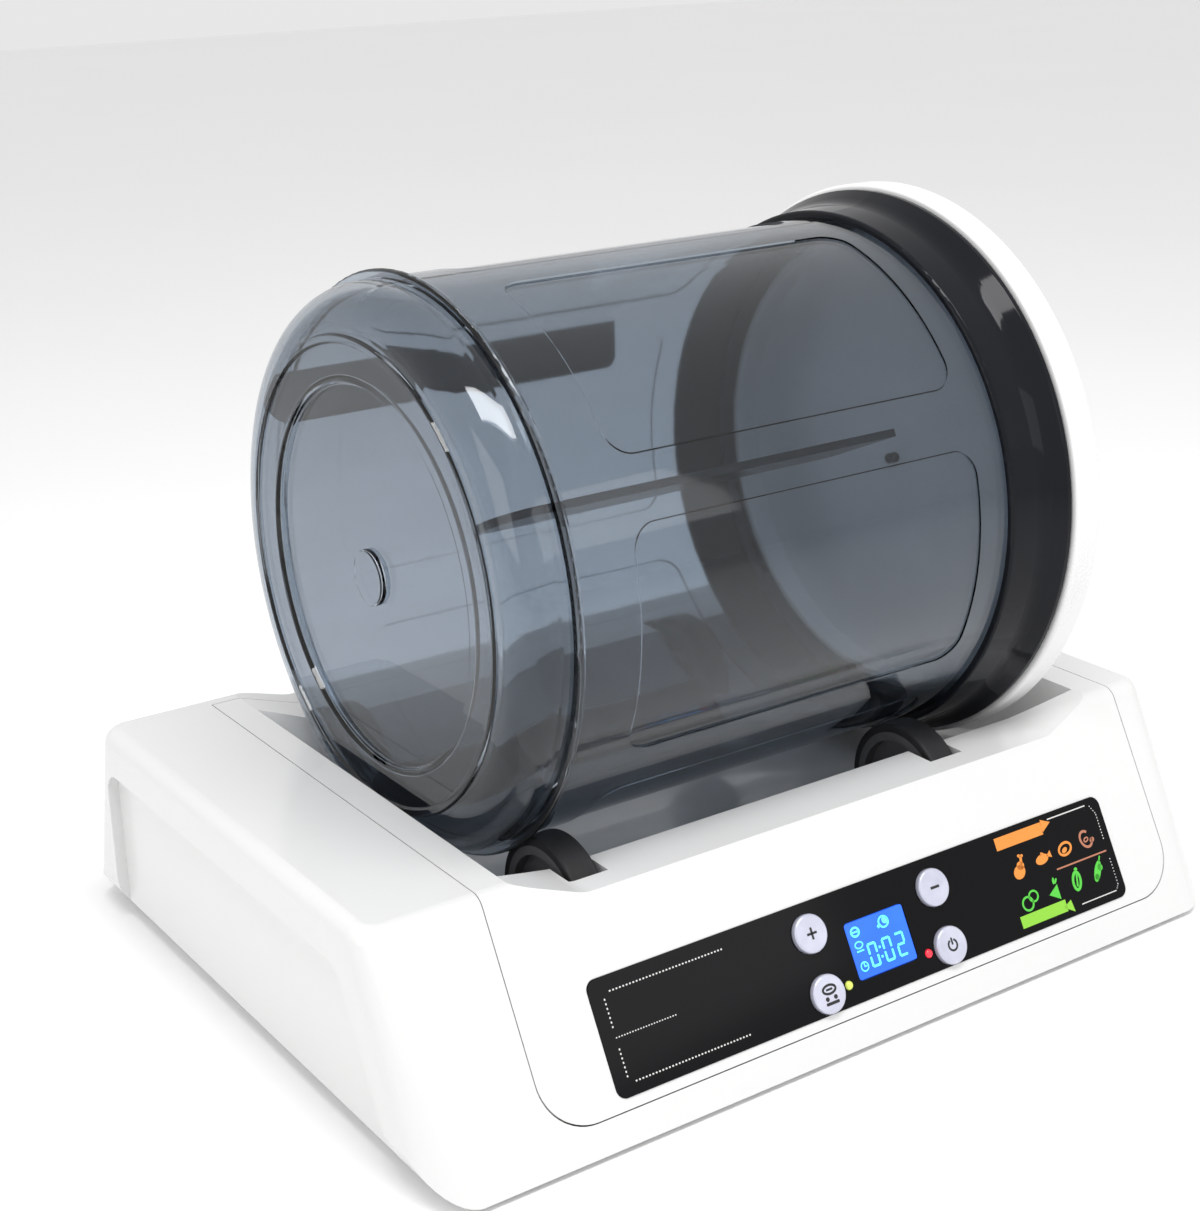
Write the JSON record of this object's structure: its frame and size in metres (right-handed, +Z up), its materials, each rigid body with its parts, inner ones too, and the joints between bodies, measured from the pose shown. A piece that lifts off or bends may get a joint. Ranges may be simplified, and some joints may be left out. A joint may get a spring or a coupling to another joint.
{
  "type": "meat vacuum tumbler",
  "caption": "Countertop meat vacuum tumbler: a smoke-tinted drum with a white lid lies on rubber rollers in a white powered base with a sloping control panel.",
  "frame": {"origin": "centre of the footprint on the surface the feet stand on", "axes": "+X along the drum to its lid, -Y to the control panel, +Z up"},
  "size_m": [0.332, 0.262, 0.2541],
  "materials": {
    "white_shell": "glossy off-white ABS",
    "lid_white": "glossy white",
    "smoke_clear": "clear smoke-tinted plastic",
    "fin_smoke": "dark smoke plastic",
    "black_gloss": "glossy black",
    "rubber_black": "matte rubber",
    "silicone": "translucent silicone",
    "nylon": "dark nylon",
    "acetal": "natural acetal",
    "button_grey": "silver-grey satin",
    "lcd_blue": "blue backlit display",
    "led_red": "red lamp",
    "led_green": "green lamp",
    "board_green": "circuit board",
    "steel": "brushed steel",
    "black_matte": "matte black",
    "tube_clear": "soft tube",
    "knob_red": "valve knob"
  },
  "bodies": {
    "base": {"lower_housing": "white_shell", "top_cover": "white_shell", "bottom_plate": "white_shell", "feet": "rubber_black", "housing_screws": "steel", "control_panel": "black_gloss", "lcd_display": "lcd_blue", "led_red": "led_red", "led_green": "led_green", "control_board": "board_green", "tact_switches": "black_matte", "bearings": "acetal", "drive_motor": "steel", "motor_bracket": "steel", "motor_screws": "steel", "vacuum_pump": "black_matte", "pump_cradle": "nylon", "vacuum_tube": "tube_clear", "hose_port": "black_matte", "power_inlet": "black_matte", "power_board": "board_green"},
    "drum": {"drum_shell": "smoke_clear", "fins": "fin_smoke", "drum_collar": "black_gloss"},
    "lid_assembly": {"lid": "lid_white", "lid_gasket": "silicone", "valve_body": "nylon"},
    "valve": {"valve_knob": "knob_red"},
    "front_rollers": {"front_shaft": "steel", "front_roller_hubs": "nylon", "front_roller_tyres": "rubber_black", "drive_gear": "acetal"},
    "rear_rollers": {"rear_shaft": "steel", "rear_roller_hubs": "nylon", "rear_roller_tyres": "rubber_black"},
    "pinion": {"motor_pinion": "acetal", "motor_shaft": "steel"},
    "plus": {"button_plus": "button_grey"},
    "minus": {"button_minus": "button_grey"},
    "mode": {"button_mode": "button_grey"},
    "power": {"button_power": "button_grey"}
  },
  "joints": [
    {"name": "drum_spin", "type": "hinge", "parent": "base", "child": "drum", "pos_m": [0, 0.001, 0.1493], "axis": [1, 0, 0], "continuous": true},
    {"name": "front_roller_spin", "type": "hinge", "parent": "base", "child": "front_rollers", "pos_m": [0, -0.06677, 0.05142], "axis": [1, 0, 0], "continuous": true},
    {"name": "rear_roller_spin", "type": "hinge", "parent": "base", "child": "rear_rollers", "pos_m": [0, 0.06877, 0.05142], "axis": [1, 0, 0], "continuous": true},
    {"name": "pinion_spin", "type": "hinge", "parent": "base", "child": "pinion", "pos_m": [-0.1215, -0.0459, 0.03937], "axis": [1, 0, 0], "continuous": true},
    {"name": "lid_twist", "type": "hinge", "parent": "drum", "child": "lid_assembly", "pos_m": [0.115, 0.001, 0.1493], "axis": [1, 0, 0], "range_deg": [0, 40]},
    {"name": "valve_lift", "type": "slide", "parent": "lid_assembly", "child": "valve", "axis": [1, 0, 0], "range_m": [0, 0.003], "stiffness_N_per_m": 300},
    {"name": "plus_press", "type": "slide", "parent": "base", "child": "plus", "axis": [0, 0.8771, -0.4802], "range_m": [0, 0.001], "stiffness_N_per_m": 400},
    {"name": "minus_press", "type": "slide", "parent": "base", "child": "minus", "axis": [0, 0.8771, -0.4802], "range_m": [0, 0.001], "stiffness_N_per_m": 400},
    {"name": "mode_press", "type": "slide", "parent": "base", "child": "mode", "axis": [0, 0.8771, -0.4802], "range_m": [0, 0.001], "stiffness_N_per_m": 400},
    {"name": "power_press", "type": "slide", "parent": "base", "child": "power", "axis": [0, 0.8771, -0.4802], "range_m": [0, 0.001], "stiffness_N_per_m": 400}
  ],
  "couplings": [
    {"joint": "front_roller_spin", "follows": "drum_spin", "ratio": -4},
    {"joint": "rear_roller_spin", "follows": "drum_spin", "ratio": -4},
    {"joint": "pinion_spin", "follows": "drum_spin", "ratio": 12}
  ]
}
